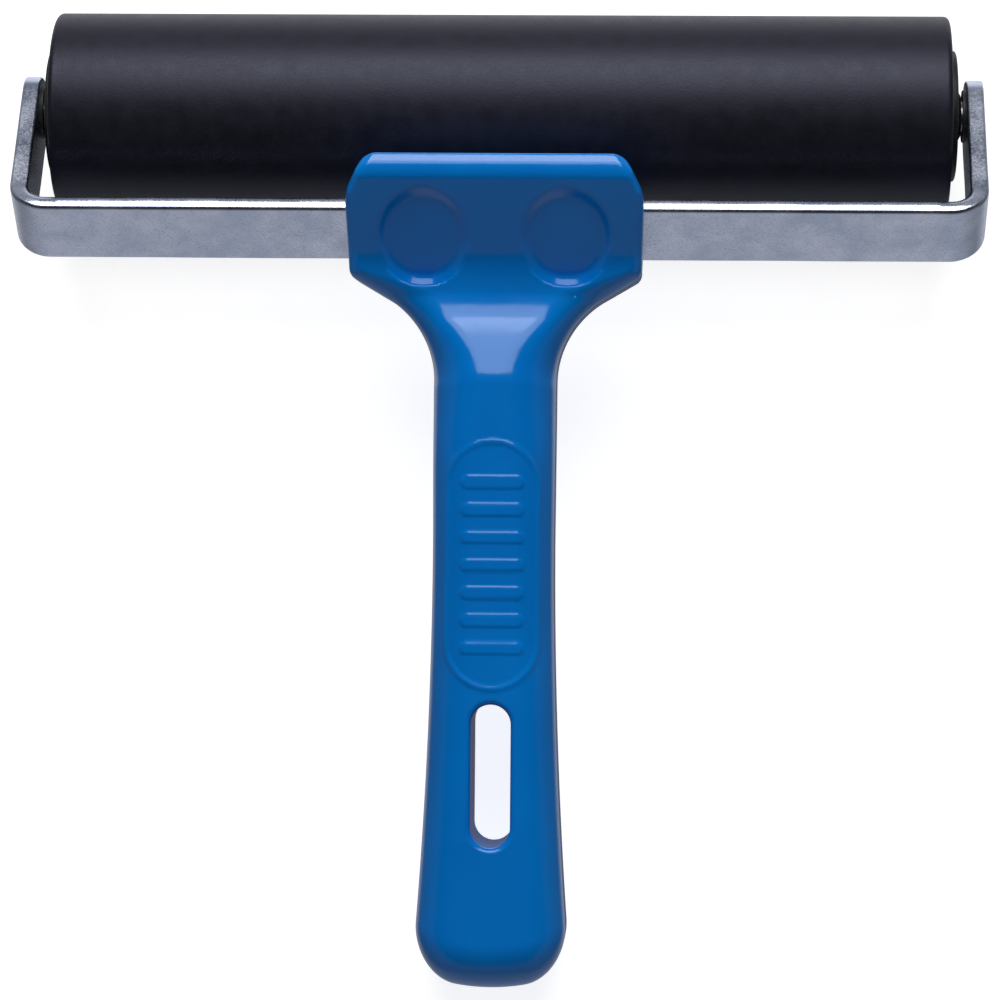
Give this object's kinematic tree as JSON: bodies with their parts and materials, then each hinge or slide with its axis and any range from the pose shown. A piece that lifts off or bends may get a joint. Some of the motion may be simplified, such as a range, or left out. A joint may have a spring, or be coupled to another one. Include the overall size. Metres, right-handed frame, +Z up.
{
  "type": "rubber brayer",
  "caption": "Hand brayer for inking blocks: a soft rubber roller that spins in a bent steel yoke held by a moulded plastic handle.",
  "frame": {"origin": "on the table under the middle of the whole tool", "axes": "+X along the roller, +Y from the handle to the roller, +Z up from the table that the tool rests on"},
  "size_m": [0.1622, 0.1636, 0.0489],
  "materials": {
    "handle_plastic": "glossy blue moulding",
    "yoke_steel": "dull plated strip",
    "roller_rubber": "satin black, fine ground",
    "core_plastic": "matt",
    "plug_plastic": "matt black",
    "axle_steel": "turned and peened ends",
    "washer_plastic": "thin pale disc"
  },
  "bodies": {
    "frame": {"handle": "handle_plastic", "yoke_frame": "yoke_steel", "axle": "axle_steel", "thrust_washer_left": "washer_plastic", "thrust_washer_right": "washer_plastic"},
    "roller": {"rubber_sleeve": "roller_rubber", "core_tube": "core_plastic", "end_plug_left": "plug_plastic", "end_plug_right": "plug_plastic"}
  },
  "joints": [
    {"name": "roller_spin", "type": "hinge", "parent": "frame", "child": "roller", "pos_m": [0, 0.06507, 0.0167], "axis": [1, 0, 0], "continuous": true}
  ]
}
